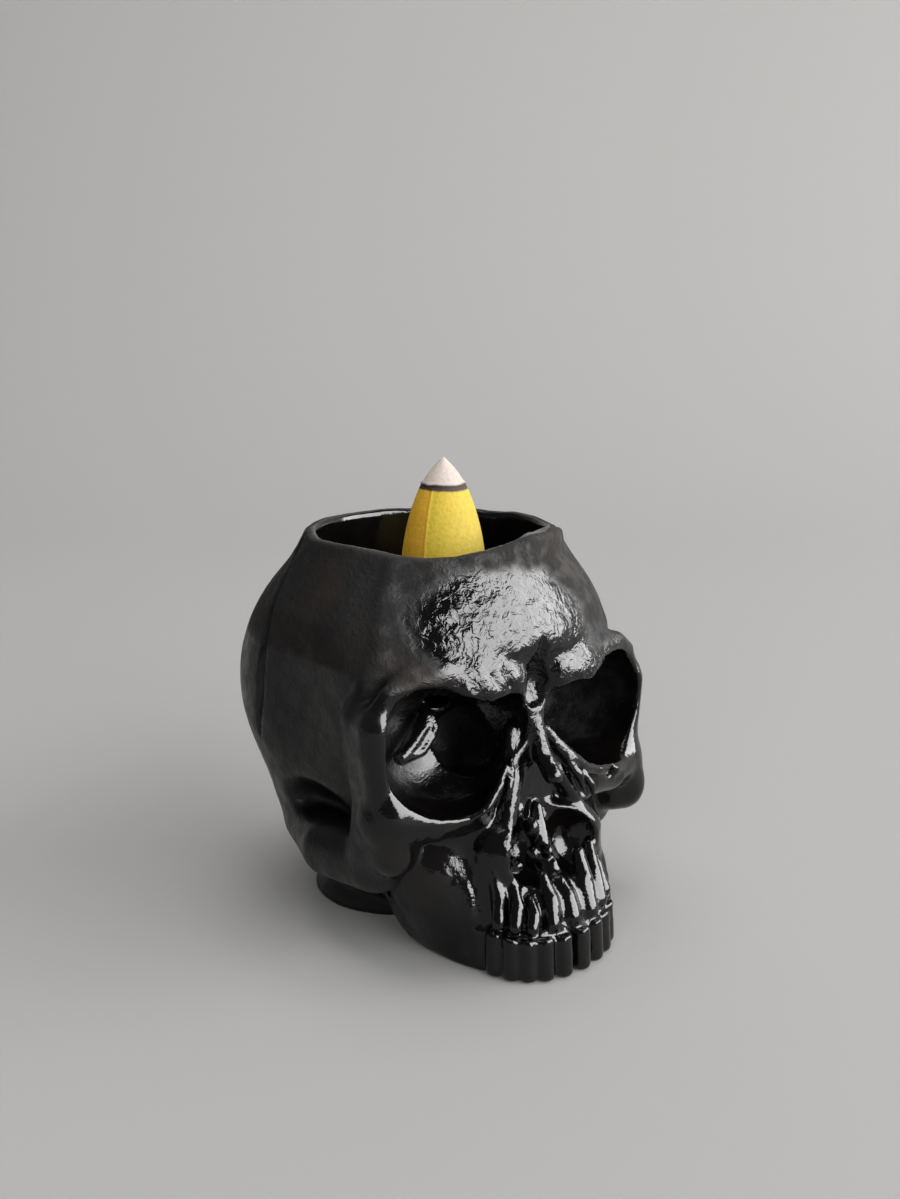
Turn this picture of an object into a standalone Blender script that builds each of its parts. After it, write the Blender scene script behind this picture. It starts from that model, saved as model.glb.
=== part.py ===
"""Skull burner: a cast skull with a bowl in its crown, and an incense cone standing in the bowl.

The skull faces -Y and +Z is up. The origin lies on the resting surface, under the axis of the bowl.
Sizes are in millimetres, and become metres where a mesh is made. A place is (x, y, z). A paired mass or
hollow stands on both sides of the skull, and its place is given for the side at +X. A blend is the width
over which a mass runs into what is already there.
"""
import math

import bmesh
import bpy
from mathutils import Matrix, Vector

MM = 0.001

# Bowl and rim
RIM_HEIGHT = 73.0
BOWL_RADIUS = 21.6
BOWL_DRAFT = 1.0
BOWL_DEPTH = 18.5
BOWL_CORNER = 4.0
RIM_WALL = 1.9
COLLAR_REACH = 13.0
COLLAR_FLARE = 6.3

# Smoke way: a hole in the bowl's floor that branches to the roof of each socket
SMOKE_HOLE_RADIUS = 2.2
SMOKE_HOLE_DEPTH = 4.5
DUCT_RADIUS = 2.0
DUCT_INSET = 3.0
DUCT_BELOW_ROOF = 4.2

# Cranium and foot
CRANIUM_HALF_WIDTH = 34.0
CRANIUM_HALF_LENGTH = 38.0
CRANIUM_HALF_HEIGHT = 32.0
CRANIUM_CENTRE = (0.0, 3.0, 43.0)
FOREHEAD_CENTRE = (0.0, -9.0, 52.0)
FOREHEAD_RADII = (31.0, 21.0, 22.0)
NAPE_CENTRE = (0.0, 4.0, 24.0)
NAPE_RADII = (28.0, 30.0, 26.0)
FOOT_CENTRE = (0.0, 1.0, 0.0)
FOOT_RADII = (21.0, 20.0, 10.0)
UNDERCUT_HEIGHT = 8.5
UNDERCUT_RADIUS = 2.1
UNDERCUT_OUT = 2.5
UNDERCUT_ANGLES = (40, 15, -12, -38)

# Mid-face, from the brows down to the floor of the nose
MIDFACE_CENTRE = (0.0, -16.0, 30.0)
MIDFACE_HALF = (20.0, 11.5, 18.0)
MIDFACE_ROUNDING = 7.0
FACE_LEAN = 0.045

# Eye sockets
SOCKET_CENTRE = (18.2, -28.0, 40.3)
SOCKET_HALF_WIDTH = 12.6
SOCKET_HALF_HEIGHT = 10.5
SOCKET_DEPTH = 11.5
SOCKET_TURN = (0.0, -4.0, 6.0)
SOCKET_CORNER_CENTRE = (8.2, -26.8, 44.4)
SOCKET_CORNER_RADII = (5.6, 8.5, 5.2)
SOCKET_WELL_CENTRE = (11.5, -20.0, 39.5)
SOCKET_WELL_RADII = (7.0, 12.0, 8.3)
SOCKET_EDGE = 1.2

# Rim of bone round each socket, with the brow over it
SOCKET_RIM = 2.2
SOCKET_RIM_BACK = 2.2
SOCKET_SWEEP = 3.4
BROW_EXTRA = 1.7
BROW_RADII = (9.0, 4.2, 3.2)
BROW_INSET = 7.0
CLEFT_BOTTOM = (0.0, -29.0, 45.5)
CLEFT_TOP = (0.0, -32.2, 56.0)
CLEFT_RADIUS = 1.7

# Nose
NASION = (0.0, -24.0, 46.5)
NOSE_TIP = (0.0, -33.0, 34.0)
NOSE_RADIUS = 3.4
NOSE_FLANK_TOP = (3.6, -25.0, 46.0)
NOSE_FLANK_MIDDLE = (5.8, -29.2, 36.0)
NOSE_FLANK_FOOT = (11.0, -31.0, 26.0)
NOSE_FLANK_RADIUS = 2.4
NOSTRIL_CENTRE = (4.8, -37.0, 20.0)
NOSTRIL_RADII = (5.4, 8.0, 7.0)
NOSTRIL_TURN = (0.0, 14.0, 0.0)
NOSE_TOP_CENTRE = (0.0, -38.0, 26.5)
NOSE_TOP_RADII = (4.8, 9.0, 7.0)
NOSE_SPINE_FOOT = (0.0, -36.0, 12.5)
NOSE_SPINE_TOP = (0.0, -34.0, 17.0)
NOSE_SPINE_RADIUS = 1.3

# Cheeks, arches and the hollow of the temple
CHEEK_CENTRE = (27.4, -23.8, 27.5)
CHEEK_RADIUS = 5.2
CHEEK_PLATE_HALF = (4.0, 6.5, 15.0)
CHEEK_PLATE_TURN = (0.0, 6.0, 12.0)
CHEEK_PLATE_ROUNDING = 3.5
ARCH_HALF_WIDTH = 27.0
ARCH_HEIGHT = 16.0
ARCH_RADIUS = 5.6
TEMPLE_CENTRE = (49.0, -4.0, 42.0)
TEMPLE_RADII = (18.5, 22.0, 26.0)
TEMPLE_PIT_CENTRE = (32.0, -2.5, 24.0)
TEMPLE_PIT_RADII = (10.5, 9.5, 5.2)
TEMPLE_PIT_TURN = (0.0, -20.0, 0.0)

# Upper jaw and teeth
JAW_HALF_WIDTH = 17.0
JAW_LENGTH = 18.7
JAW_CENTRE = (0.0, -26.0, 0.0)
JAW_HEIGHT = 14.0
JAW_BODY_CENTRE = (0.0, -24.0, 14.0)
JAW_BODY_HALF = (14.5, 12.5, 16.0)
JAW_BODY_ROUNDING = 6.0
JAW_SIDE_CENTRE = (15.0, -18.0, 10.0)
JAW_SIDE_RADII = (6.0, 12.0, 12.0)
JAW_SHOULDER_CENTRE = (18.5, -21.5, 15.0)
JAW_SHOULDER_RADII = (5.5, 7.5, 10.0)
TEETH_EACH_SIDE = 8
TEETH_ANGLE = 120.0
TOOTH_INSET = 1.5
TOOTH_RADIUS = 2.2
TOOTH_HEIGHT = 6.5
ROOT_RADIUS = 1.7
ROOT_HEIGHT = 15.0
FRONT_ROOT_HEIGHT = 11.0

# Incense cone
CONE_PLACE = (1.8, -1.5)
CONE_RADIUS = 8.6
CONE_FULL_HEIGHT = 40.0
CONE_BODY_HEIGHT = 26.3
ASH_RADIUS = 3.6
ASH_HEIGHT = 4.6
CHAR_STEP = 0.5
CONE_TIP_RADIUS = 0.4
CONE_BORE_RADIUS = 1.6
CONE_BORE_DEPTH = 14.0
SEAT_GAP = 0.3

# Blends
WIDE = 8.0
SOFT = 4.0
FIRM = 2.5
CRISP = 1.2

# Meshing
CELL = 1.0
KEPT_SHARE = 0.11
ROUND_STEPS = 48
ROOM = 8.0

BOWL_FLOOR = RIM_HEIGHT - BOWL_DEPTH


class Clay:
    """A signed distance in millimetres, grown mass by mass as geometry nodes."""

    def __init__(self, name):
        self.tree = bpy.data.node_groups.new(name, "GeometryNodeTree")
        self.tree.interface.new_socket("Geometry", in_out="OUTPUT", socket_type="NodeSocketGeometry")
        place = self.tree.nodes.new("GeometryNodeInputPosition").outputs[0]
        self.here = self.vector("SCALE", place, scale=1.0 / MM)
        parts = self.tree.nodes.new("ShaderNodeSeparateXYZ")
        self.tree.links.new(self.here, parts.inputs[0])
        across = self.number("SQRT", self.number("MULTIPLY_ADD", parts.outputs[0], parts.outputs[0], 0.2))
        both = self.tree.nodes.new("ShaderNodeCombineXYZ")
        self.feed(both.inputs[0], across)
        self.feed(both.inputs[1], parts.outputs[1])
        self.feed(both.inputs[2], self.number("MULTIPLY_ADD", parts.outputs[0], FACE_LEAN, parts.outputs[2]))
        self.sides = both.outputs[0]
        self.surface = None

    def feed(self, socket, value):
        if isinstance(value, bpy.types.NodeSocket):
            self.tree.links.new(value, socket)
        else:
            socket.default_value = value

    def number(self, operation, *values):
        node = self.tree.nodes.new("ShaderNodeMath")
        node.operation = operation
        for socket, value in zip(node.inputs, values):
            self.feed(socket, value)
        return node.outputs[0]

    def vector(self, operation, *values, scale=None):
        node = self.tree.nodes.new("ShaderNodeVectorMath")
        node.operation = operation
        for socket, value in zip(node.inputs, values):
            self.feed(socket, value)
        if scale is not None:
            self.feed(node.inputs["Scale"], scale)
        return node.outputs["Value" if operation in ("LENGTH", "DOT_PRODUCT", "DISTANCE") else "Vector"]

    def local(self, centre, turn, paired):
        point = self.vector("SUBTRACT", self.sides if paired else self.here, centre)
        if turn is None:
            return point
        node = self.tree.nodes.new("ShaderNodeVectorRotate")
        node.rotation_type = "EULER_XYZ"
        node.invert = True
        self.feed(node.inputs["Vector"], point)
        node.inputs["Rotation"].default_value = [math.radians(angle) for angle in turn]
        return node.outputs[0]

    def ball(self, centre, radii, turn=None, paired=True):
        point = self.vector("DIVIDE", self.local(centre, turn, paired), radii)
        reach = self.vector("LENGTH", point)
        slope = self.vector("LENGTH", self.vector("DIVIDE", point, radii))
        depth = self.number("MULTIPLY", reach, self.number("SUBTRACT", reach, 1.0))
        return self.number("DIVIDE", depth, slope)

    def rod(self, start, end, radius, end_radius=None, paired=True):
        end_radius = radius if end_radius is None else end_radius
        along = [b - a for a, b in zip(start, end)]
        length_squared = sum(part * part for part in along)
        point = self.vector("SUBTRACT", self.sides if paired else self.here, start)
        share = self.number("MULTIPLY", self.vector("DOT_PRODUCT", point, along), 1.0 / length_squared)
        share = self.number("MINIMUM", self.number("MAXIMUM", share, 0.0), 1.0)
        foot = self.vector("SCALE", along, scale=share)
        away = self.vector("LENGTH", self.vector("SUBTRACT", point, foot))
        return self.number("SUBTRACT", away, self.number("MULTIPLY_ADD", share, end_radius - radius, radius))

    def block(self, centre, half, rounding, turn=None, paired=True):
        point = self.vector("ABSOLUTE", self.local(centre, turn, paired))
        inner = [max(size - rounding, 0.01) for size in half]
        past = self.vector("SUBTRACT", point, inner)
        outside = self.vector("LENGTH", self.vector("MAXIMUM", past, (0.0, 0.0, 0.0)))
        parts = self.tree.nodes.new("ShaderNodeSeparateXYZ")
        self.tree.links.new(past, parts.inputs[0])
        deepest = self.number("MAXIMUM", parts.outputs[0], parts.outputs[1])
        deepest = self.number("MAXIMUM", deepest, parts.outputs[2])
        inside = self.number("MINIMUM", deepest, 0.0)
        return self.number("SUBTRACT", self.number("ADD", outside, inside), rounding)

    def add(self, shape, blend=0.0):
        if self.surface is None:
            self.surface = shape
        else:
            self.surface = self.number("SMOOTH_MIN", self.surface, shape, blend)

    def carve(self, shape, blend):
        self.surface = self.number("SMOOTH_MAX", self.surface, self.number("MULTIPLY", shape, -1.0), blend)

    def chain(self, points, radii):
        """Rods end to end, with no swelling where they meet."""
        shape = None
        for start, end, radius, end_radius in zip(points, points[1:], radii, radii[1:]):
            rod = self.rod(start, end, radius, end_radius)
            shape = rod if shape is None else self.number("MINIMUM", shape, rod)
        return shape

    def merge(self, first, second, blend):
        return self.number("SMOOTH_MIN", first, second, blend)

    def finish(self, low, high, cell):
        cube = self.tree.nodes.new("GeometryNodeVolumeCube")
        self.feed(cube.inputs["Density"], self.number("MULTIPLY", self.surface, -1.0))
        cube.inputs["Background"].default_value = -1.0
        cube.inputs["Min"].default_value = [value * MM for value in low]
        cube.inputs["Max"].default_value = [value * MM for value in high]
        for name, start, end in zip("XYZ", low, high):
            cube.inputs["Resolution " + name].default_value = int((end - start) / cell) + 1
        mesh = self.tree.nodes.new("GeometryNodeVolumeToMesh")
        mesh.inputs["Threshold"].default_value = 0.0
        self.tree.links.new(cube.outputs[0], mesh.inputs["Volume"])
        out = self.tree.nodes.new("NodeGroupOutput")
        self.tree.links.new(mesh.outputs[0], out.inputs[0])
        return self.tree


def model_cranium(clay):
    """The brain case with the collar of the bowl, the nape and the foot."""
    radii = (CRANIUM_HALF_WIDTH, CRANIUM_HALF_LENGTH, CRANIUM_HALF_HEIGHT)
    clay.add(clay.ball(CRANIUM_CENTRE, radii, paired=False))
    rim_radius = BOWL_RADIUS + RIM_WALL
    collar = clay.rod((0, 0, RIM_HEIGHT - COLLAR_REACH), (0, 0, RIM_HEIGHT + COLLAR_REACH),
                      rim_radius + COLLAR_FLARE, rim_radius - COLLAR_FLARE, paired=False)
    clay.add(collar, SOFT)
    clay.add(clay.ball(FOREHEAD_CENTRE, FOREHEAD_RADII, paired=False), SOFT)
    clay.add(clay.ball(NAPE_CENTRE, NAPE_RADII, paired=False), WIDE)
    clay.add(clay.ball(FOOT_CENTRE, FOOT_RADII, paired=False), FIRM)


def model_face(clay):
    """The mid-face and upper jaw, then the temples hollowed beside them."""
    clay.add(clay.block(MIDFACE_CENTRE, MIDFACE_HALF, MIDFACE_ROUNDING), SOFT)
    clay.add(clay.block(JAW_BODY_CENTRE, JAW_BODY_HALF, JAW_BODY_ROUNDING), SOFT)
    clay.add(clay.ball(JAW_CENTRE, (JAW_HALF_WIDTH, JAW_LENGTH, JAW_HEIGHT)), FIRM)
    clay.carve(clay.ball(TEMPLE_CENTRE, TEMPLE_RADII), WIDE)
    clay.carve(clay.ball(TEMPLE_PIT_CENTRE, TEMPLE_PIT_RADII, TEMPLE_PIT_TURN), FIRM)


def model_cheeks(clay):
    """Cheek bone, the plate beside the socket, and the arch that runs back to the ear."""
    x, y, z = CHEEK_CENTRE
    plate = (x + 0.4, y + 3.8, z + 4)
    clay.add(clay.block(plate, CHEEK_PLATE_HALF, CHEEK_PLATE_ROUNDING, CHEEK_PLATE_TURN), FIRM)
    bone = clay.chain([(x - 13, y - 3.8, z), (x - 6, y - 2.4, z - 1), CHEEK_CENTRE, (x + 2.1, y + 1.4, z - 1)],
                      [CHEEK_RADIUS - 1, CHEEK_RADIUS - 0.6, CHEEK_RADIUS, CHEEK_RADIUS - 1])
    clay.add(bone, SOFT)
    arch = clay.chain([(x - 1.6, y + 4.8, z - 5), (ARCH_HALF_WIDTH - 1, y + 7.8, ARCH_HEIGHT + 1),
                       (ARCH_HALF_WIDTH, y + 19.8, ARCH_HEIGHT), (ARCH_HALF_WIDTH - 5, y + 33.8, ARCH_HEIGHT - 1)],
                      [ARCH_RADIUS, ARCH_RADIUS, ARCH_RADIUS, ARCH_RADIUS - 1])
    clay.add(arch, SOFT)
    clay.add(clay.ball(JAW_SIDE_CENTRE, JAW_SIDE_RADII), SOFT)
    clay.add(clay.ball(JAW_SHOULDER_CENTRE, JAW_SHOULDER_RADII), SOFT)


def model_socket_rim(clay):
    """A ring of bone that follows the socket, thickest over it, and the swelling of the brow."""
    x, y, z = SOCKET_CENTRE
    points = []
    radii = []
    steps = 12
    for step in range(steps + 1):
        angle = 2 * math.pi * step / steps
        outward = math.cos(angle)
        upward = math.sin(angle)
        radius = SOCKET_RIM + BROW_EXTRA * max(upward, 0.35 * abs(upward)) - 0.4 * max(outward, 0)
        points.append((x + (SOCKET_HALF_WIDTH + 0.25 * radius) * outward,
                       y + SOCKET_RIM_BACK + SOCKET_SWEEP * outward,
                       z + (SOCKET_HALF_HEIGHT + 0.5 * radius) * upward))
        radii.append(radius)
    clay.add(clay.chain(points, radii), SOFT)
    brow = (x - BROW_INSET, y + SOCKET_RIM_BACK, z + SOCKET_HALF_HEIGHT + 0.5 * BROW_RADII[2])
    clay.add(clay.ball(brow, BROW_RADII), SOFT)


def model_nose(clay):
    ridge = clay.chain([(NASION[0], NASION[1], NASION[2] + SOFT), NASION, NOSE_TIP],
                       [NOSE_RADIUS, NOSE_RADIUS, NOSE_RADIUS - 0.8])
    clay.add(ridge, FIRM)
    flank = clay.chain([NOSE_FLANK_TOP, NOSE_FLANK_MIDDLE, NOSE_FLANK_FOOT],
                       [NOSE_FLANK_RADIUS, NOSE_FLANK_RADIUS, NOSE_FLANK_RADIUS + 0.6])
    clay.add(flank, SOFT)


def hollow_face(clay):
    """Sockets, nasal opening and brow cleft, cut once everything round them is in place."""
    socket = clay.ball(SOCKET_CENTRE, (SOCKET_HALF_WIDTH, SOCKET_DEPTH, SOCKET_HALF_HEIGHT), SOCKET_TURN)
    socket = clay.merge(socket, clay.ball(SOCKET_CORNER_CENTRE, SOCKET_CORNER_RADII), FIRM)
    socket = clay.merge(socket, clay.ball(SOCKET_WELL_CENTRE, SOCKET_WELL_RADII), CRISP)
    clay.carve(socket, SOCKET_EDGE)
    nostril = clay.ball(NOSTRIL_CENTRE, NOSTRIL_RADII, NOSTRIL_TURN)
    clay.carve(clay.merge(nostril, clay.ball(NOSE_TOP_CENTRE, NOSE_TOP_RADII), FIRM), CRISP)
    clay.add(clay.rod(NOSE_SPINE_FOOT, NOSE_SPINE_TOP, NOSE_SPINE_RADIUS, NOSE_SPINE_RADIUS - 0.4), CRISP)
    clay.carve(clay.rod(CLEFT_BOTTOM, CLEFT_TOP, CLEFT_RADIUS, CLEFT_RADIUS - 0.5), CRISP)


def model_teeth(clay):
    """Teeth and the roots that show through the bone, stepped round the arch."""
    for place in range(TEETH_EACH_SIDE):
        turn = math.radians((place + 0.5) * TEETH_ANGLE / TEETH_EACH_SIDE - 90)
        x = (JAW_HALF_WIDTH - TOOTH_INSET) * math.cos(turn)
        y = JAW_CENTRE[1] + (JAW_LENGTH - TOOTH_INSET) * math.sin(turn)
        tooth = clay.rod((x, y, 1), (0.96 * x, y + 1.2, TOOTH_HEIGHT), TOOTH_RADIUS, TOOTH_RADIUS - 0.3)
        clay.add(tooth, CRISP)
        top = FRONT_ROOT_HEIGHT if place < 2 else ROOT_HEIGHT
        root = clay.rod((0.95 * x, y + 1.4, TOOTH_HEIGHT + 1), (0.9 * x, y + 4, top),
                        ROOT_RADIUS, ROOT_RADIUS - 0.5)
        clay.add(root, CRISP)


def undercut(clay):
    """The groove that leaves the skull standing on a narrower foot."""
    groove = []
    for degrees in UNDERCUT_ANGLES:
        turn = math.radians(degrees)
        x = (FOOT_RADII[0] + UNDERCUT_OUT) * math.cos(turn)
        y = FOOT_CENTRE[1] + (FOOT_RADII[1] + UNDERCUT_OUT) * math.sin(turn)
        groove.append((x, y, UNDERCUT_HEIGHT))
    clay.carve(clay.chain(groove, [UNDERCUT_RADIUS] * len(groove)), CRISP)


def model_skull(clay):
    model_cranium(clay)
    model_face(clay)
    model_cheeks(clay)
    model_socket_rim(clay)
    model_nose(clay)
    hollow_face(clay)
    model_teeth(clay)
    undercut(clay)


def add_mesh_object(name, mesh):
    thing = bpy.data.objects.new(name, mesh)
    bpy.context.collection.objects.link(thing)
    return thing


def turned_mesh(name, profile, steps):
    """A solid of revolution about Z from (radius, height) points that start and end on the axis."""
    made = bmesh.new()
    line = [made.verts.new((radius * MM, 0.0, height * MM)) for radius, height in profile]
    edges = [made.edges.new(pair) for pair in zip(line, line[1:])]
    bmesh.ops.spin(made, geom=line + edges, cent=(0, 0, 0), axis=(0, 0, 1), angle=2 * math.pi, steps=steps)
    bmesh.ops.remove_doubles(made, verts=made.verts, dist=1e-6)
    bmesh.ops.recalc_face_normals(made, faces=made.faces)
    mesh = bpy.data.meshes.new(name)
    made.to_mesh(mesh)
    made.free()
    return mesh


def arc(centre_radius, centre_height, radius, start, end, steps):
    """Points of a round corner in a turned profile; the angles are in degrees from straight out."""
    points = []
    for step in range(steps + 1):
        angle = math.radians(start + (end - start) * step / steps)
        points.append((centre_radius + radius * math.cos(angle), centre_height + radius * math.sin(angle)))
    return points


def tube_mesh(name, start, end, radius, steps=16):
    """A straight round tube between two points."""
    start = Vector(start) * MM
    end = Vector(end) * MM
    along = end - start
    made = bmesh.new()
    bmesh.ops.create_cone(made, cap_ends=True, segments=steps, radius1=radius * MM, radius2=radius * MM,
                          depth=along.length)
    turn = along.to_track_quat("Z", "Y").to_matrix().to_4x4()
    bmesh.ops.transform(made, matrix=Matrix.Translation((start + end) / 2) @ turn, verts=made.verts)
    mesh = bpy.data.meshes.new(name)
    made.to_mesh(mesh)
    made.free()
    return mesh


def cut(thing, cutter):
    cutter.hide_render = True
    cutter.display_type = "WIRE"
    boolean = thing.modifiers.new(cutter.name, "BOOLEAN")
    boolean.operation = "DIFFERENCE"
    boolean.solver = "EXACT"
    boolean.object = cutter


def material(name, colour, roughness):
    made = bpy.data.materials.new(name)
    made.use_nodes = True
    shader = made.node_tree.nodes["Principled BSDF"]
    shader.inputs["Base Color"].default_value = (*colour, 1.0)
    shader.inputs["Roughness"].default_value = roughness
    shader.inputs["Metallic"].default_value = 0.0
    return made


def base_cutter():
    """Everything below the resting surface."""
    mesh = bpy.data.meshes.new("below_base")
    made = bmesh.new()
    bmesh.ops.create_cube(made, size=1.0)
    for corner in made.verts:
        corner.co = (corner.co.x * 0.2, corner.co.y * 0.2, (corner.co.z - 0.5) * 0.05)
    made.to_mesh(mesh)
    made.free()
    return add_mesh_object("below_base", mesh)


def bowl_cutter():
    """The bowl, with everything above the rim."""
    floor_radius = BOWL_RADIUS - BOWL_DRAFT
    profile = [(0.0, BOWL_FLOOR)]
    profile += arc(floor_radius - BOWL_CORNER, BOWL_FLOOR + BOWL_CORNER, BOWL_CORNER, -90, 0, 4)
    outside = 2 * CRANIUM_HALF_LENGTH
    profile += [(BOWL_RADIUS, RIM_HEIGHT), (outside, RIM_HEIGHT)]
    profile += [(outside, RIM_HEIGHT + 2 * COLLAR_REACH), (0.0, RIM_HEIGHT + 2 * COLLAR_REACH)]
    return add_mesh_object("bowl", turned_mesh("bowl", profile, ROUND_STEPS))


def smoke_cutters():
    """The hole under the cone, and a duct from its foot to the roof of each socket."""
    top = (CONE_PLACE[0], CONE_PLACE[1], BOWL_FLOOR + 1)
    fork = (CONE_PLACE[0], CONE_PLACE[1], BOWL_FLOOR - SMOKE_HOLE_DEPTH)
    cutters = [add_mesh_object("smoke_hole", tube_mesh("smoke_hole", top, fork, SMOKE_HOLE_RADIUS))]
    for side, name in ((-1, "duct_right"), (1, "duct_left")):
        end = (side * (SOCKET_CENTRE[0] - DUCT_INSET), SOCKET_WELL_CENTRE[1],
               SOCKET_CENTRE[2] + SOCKET_HALF_HEIGHT - DUCT_BELOW_ROOF)
        start = (fork[0], fork[1], fork[2] + 0.25 * SMOKE_HOLE_RADIUS)
        cutters.append(add_mesh_object(name, tube_mesh(name, start, end, DUCT_RADIUS)))
    return cutters


def make_skull():
    clay = Clay("skull clay")
    model_skull(clay)
    low = (-CRANIUM_HALF_WIDTH - ROOM, JAW_CENTRE[1] - JAW_LENGTH - ROOM, -ROOM / 2)
    high = (CRANIUM_HALF_WIDTH + ROOM, CRANIUM_CENTRE[1] + CRANIUM_HALF_LENGTH + ROOM, RIM_HEIGHT + ROOM)
    skull = add_mesh_object("skull", bpy.data.meshes.new("skull"))
    skull.data.materials.append(material("black lacquer on cast resin", (0.012, 0.012, 0.014), 0.22))
    skull.modifiers.new("clay", "NODES").node_group = clay.finish(low, high, CELL)
    skull.modifiers.new("fewer faces", "DECIMATE").ratio = KEPT_SHARE
    cut(skull, base_cutter())
    cut(skull, bowl_cutter())
    for cutter in smoke_cutters():
        cut(skull, cutter)
    return skull


def make_cone():
    base = BOWL_FLOOR + SEAT_GAP
    profile = [(0.0, base + CONE_BORE_DEPTH), (CONE_BORE_RADIUS, base + CONE_BORE_DEPTH - CONE_BORE_RADIUS),
               (CONE_BORE_RADIUS, base)]
    steps = 8
    for step in range(steps + 1):
        height = CONE_BODY_HEIGHT * step / steps
        profile.append((CONE_RADIUS * (1 - (height / CONE_FULL_HEIGHT) ** 2), base + height))
    ash_base = base + CONE_BODY_HEIGHT + CHAR_STEP
    profile += [(ASH_RADIUS, ash_base), (CONE_TIP_RADIUS, ash_base + ASH_HEIGHT - CONE_TIP_RADIUS),
                (0.0, ash_base + ASH_HEIGHT)]
    cone = add_mesh_object("incense_cone", turned_mesh("incense_cone", profile, ROUND_STEPS // 2))
    cone.location = (CONE_PLACE[0] * MM, CONE_PLACE[1] * MM, 0.0)
    cone.data.materials.append(material("pressed incense", (0.75, 0.52, 0.03), 0.8))
    cone.data.shade_smooth()
    cone.data.set_sharp_from_angle(angle=math.radians(40))
    return cone


def main():
    for thing in list(bpy.data.objects):
        bpy.data.objects.remove(thing)
    make_skull()
    make_cone()


main()
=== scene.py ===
import math

import bmesh
import bpy
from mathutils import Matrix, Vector


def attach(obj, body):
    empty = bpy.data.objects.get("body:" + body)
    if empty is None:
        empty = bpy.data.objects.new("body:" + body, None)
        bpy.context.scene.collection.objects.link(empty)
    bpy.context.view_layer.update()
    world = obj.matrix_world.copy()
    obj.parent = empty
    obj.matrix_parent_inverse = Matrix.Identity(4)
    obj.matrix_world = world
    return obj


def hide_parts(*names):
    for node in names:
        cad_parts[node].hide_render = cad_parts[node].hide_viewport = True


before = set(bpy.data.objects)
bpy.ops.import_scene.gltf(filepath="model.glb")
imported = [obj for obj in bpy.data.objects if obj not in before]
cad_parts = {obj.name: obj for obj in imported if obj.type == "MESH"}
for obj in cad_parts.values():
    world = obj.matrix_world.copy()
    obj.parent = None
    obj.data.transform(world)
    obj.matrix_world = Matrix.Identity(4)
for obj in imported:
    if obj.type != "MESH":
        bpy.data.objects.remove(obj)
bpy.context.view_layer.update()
mm = 0.001  # shapes below are in millimetres, and become metres where they meet Blender


def linearColour(code):
    parts = [int(code[place:place + 2], 16) / 255 for place in (1, 3, 5)]
    return [part / 12.92 if part <= 0.04045 else ((part + 0.055) / 1.055) ** 2.4 for part in parts] + [1.0]


def addNode(tree, kind, *feeds):
    # a kind may end in its operation; a dictionary holds settings and named inputs, other feeds fill in order
    kind, _, operation = kind.partition(" ")
    node = tree.nodes.new(kind if "Node" in kind else "ShaderNode" + kind)
    if operation:
        setattr(node, "operation" if hasattr(node, "operation") else "interpolation_type", operation)
    settings = next((feed for feed in feeds if isinstance(feed, dict)), {})
    for name, value in settings.items():
        if name not in node.inputs:
            setattr(node, name, value)
    targets = [(node.inputs[name], value) for name, value in settings.items() if name in node.inputs]
    targets += list(zip([socket for socket in node.inputs if socket.enabled],
                        [feed for feed in feeds if not isinstance(feed, dict)]))
    for socket, value in targets:
        if isinstance(value, bpy.types.NodeSocket):
            tree.links.new(value, socket)
        elif value is not None:
            socket.default_value = value
    return next((socket for socket in node.outputs if socket.enabled), None)


# The skull is one field of distances, grown mass by mass, then meshed. It faces -Y, its right side is at -X,
# and a paired mass stands on both sides. The turned head shows its right side near, its left side far.

skull = {
    "cell": 0.62,
    "boxLow": (-40.0, -52.0, -4.0),
    "boxHigh": (40.0, 48.0, 80.0),
    "seed": 4,
    "rimHeight": 73.0,
    "bowlRadius": 21.6,
    "bowlDraft": 1.0,
    "bowlDepth": 18.5,
    "bowlCorner": 4.0,
    "rimWall": 1.9,
    "rimRound": 0.9,
    "rimWave": 2.0,
    "waveScale": 0.09,
    "waveSink": 0.3,
    "rimDip": -0.8,
    "rimBrow": 1.1,
    "baseRound": 1.0,
    "pebbleHeight": 0.6,
    "pebbleSize": 2.6,
    "lean": 0.045,
    "half": (34.0, 38.0, 32.0),
}
blends = {"wide": 8.0, "soft": 4.0, "firm": 2.5, "crisp": 1.2, "sharp": 0.6}


def startGroup(name, inputs, output):
    tree = bpy.data.node_groups.new(name, "GeometryNodeTree")
    for label, kind in inputs:
        tree.interface.new_socket(label, in_out="INPUT", socket_type="NodeSocket" + kind)
    tree.interface.new_socket(output, in_out="OUTPUT", socket_type="NodeSocket" + output)
    return tree, addNode(tree, "NodeGroupInput").node.outputs


def localPoint(tree, sizes):
    point = addNode(tree, "VectorMath SUBTRACT", sizes["Point"], sizes["Centre"])
    return addNode(tree, "VectorRotate", {"rotation_type": "EULER_XYZ", "invert": True, "Vector": point,
                                          "Rotation": sizes["Turn"]})


def ballGroup():
    inputs = (("Point", "Vector"), ("Centre", "Vector"), ("Radii", "Vector"), ("Turn", "Vector"))
    tree, sizes = startGroup("ball", inputs, "Float")
    point = addNode(tree, "VectorMath DIVIDE", localPoint(tree, sizes), sizes["Radii"])
    reach = addNode(tree, "VectorMath LENGTH", point)
    slope = addNode(tree, "VectorMath LENGTH", addNode(tree, "VectorMath DIVIDE", point, sizes["Radii"]))
    depth = addNode(tree, "Math MULTIPLY", reach, addNode(tree, "Math SUBTRACT", reach, 1.0))
    addNode(tree, "NodeGroupOutput", addNode(tree, "Math DIVIDE", depth, slope))
    return tree


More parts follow.
